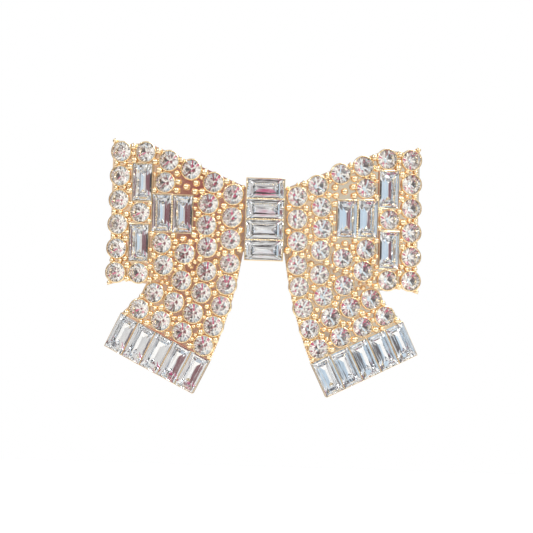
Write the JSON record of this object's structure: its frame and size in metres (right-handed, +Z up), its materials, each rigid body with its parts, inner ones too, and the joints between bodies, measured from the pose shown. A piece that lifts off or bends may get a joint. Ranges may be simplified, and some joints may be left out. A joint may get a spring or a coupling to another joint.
{
  "type": "hair clip",
  "caption": "Bow-shaped hair clip: a gold-plated casting set with round and baguette rhinestones, on a hinged French barrette with a squeeze latch.",
  "frame": {"origin": "middle of the hair channel, between the tension spring and the clasp arm behind the knot", "axes": "+X along the barrette towards the latch, +Z up as the bow is worn, -Y out of the stones' faces"},
  "size_m": [0.0654, 0.0187, 0.0524],
  "materials": {
    "gold_plate": "polished pale gold plate on a zinc alloy casting",
    "gold_steel": "gold-plated stamped steel",
    "spring_steel": "gold-plated spring steel strip",
    "round_crystal": "faceted clear glass with silver foil behind",
    "baguette_crystal": "step-cut clear glass with silver foil behind"
  },
  "bodies": {
    "clip_body": {"bow_casting": "gold_plate", "right_edge_stone_1": "round_crystal", "right_edge_stone_2": "round_crystal", "right_edge_stone_3": "round_crystal", "right_edge_stone_4": "round_crystal", "right_edge_stone_5": "round_crystal", "right_edge_stone_6": "round_crystal", "right_second_stone_1": "round_crystal", "right_second_stone_2": "round_crystal", "right_second_stone_3": "round_crystal", "right_third_stone_1": "round_crystal", "right_third_stone_2": "round_crystal", "right_third_stone_3": "round_crystal", "right_third_stone_4": "round_crystal", "left_edge_stone_1": "round_crystal", "left_edge_stone_2": "round_crystal", "left_edge_stone_3": "round_crystal", "left_edge_stone_4": "round_crystal", "left_edge_stone_5": "round_crystal", "left_edge_stone_6": "round_crystal", "left_second_stone_1": "round_crystal", "left_second_stone_2": "round_crystal", "left_second_stone_3": "round_crystal", "left_third_stone_1": "round_crystal", "left_third_stone_2": "round_crystal", "left_third_stone_3": "round_crystal", "left_third_stone_4": "round_crystal", "knot_baguette_1": "baguette_crystal", "knot_baguette_2": "baguette_crystal", "knot_baguette_3": "baguette_crystal", "knot_baguette_4": "baguette_crystal", "right_loop_baguette_1": "baguette_crystal", "right_loop_baguette_2": "baguette_crystal", "right_loop_baguette_3": "baguette_crystal", "right_loop_baguette_4": "baguette_crystal", "right_tail_baguette_1": "baguette_crystal", "right_tail_baguette_2": "baguette_crystal", "right_tail_baguette_3": "baguette_crystal", "right_tail_baguette_4": "baguette_crystal", "right_tail_baguette_5": "baguette_crystal", "left_loop_baguette_1": "baguette_crystal", "left_loop_baguette_2": "baguette_crystal", "left_loop_baguette_3": "baguette_crystal", "left_loop_baguette_4": "baguette_crystal", "left_tail_baguette_1": "baguette_crystal", "left_tail_baguette_2": "baguette_crystal", "left_tail_baguette_3": "baguette_crystal", "left_tail_baguette_4": "baguette_crystal", "left_tail_baguette_5": "baguette_crystal", "base_plate": "gold_steel", "mount_rivet_right": "gold_steel", "mount_rivet_left": "gold_steel", "hinge_pin": "gold_steel", "latch_rivet": "gold_steel", "tension_spring": "spring_steel", "latch_bracket": "spring_steel"},
    "arm": {"clasp_arm": "gold_steel"},
    "upper_ear": {"latch_ear_upper": "spring_steel"},
    "lower_ear": {"latch_ear_lower": "spring_steel"}
  },
  "joints": [
    {"name": "clasp_hinge", "type": "hinge", "parent": "clip_body", "child": "arm", "pos_m": [-0.0275, 0.00436, 0], "axis": [0, 0, 1], "range_deg": [0, 75]},
    {"name": "upper_ear_pinch", "type": "hinge", "parent": "clip_body", "child": "upper_ear", "pos_m": [0.027, -0.00011, 0.0019], "axis": [-1, 0, 0], "range_deg": [0, 10], "stiffness_Nm_per_rad": 0.1},
    {"name": "lower_ear_pinch", "type": "hinge", "parent": "clip_body", "child": "lower_ear", "pos_m": [0.027, -0.00011, -0.0019], "axis": [1, 0, 0], "range_deg": [0, 10], "stiffness_Nm_per_rad": 0.1}
  ]
}
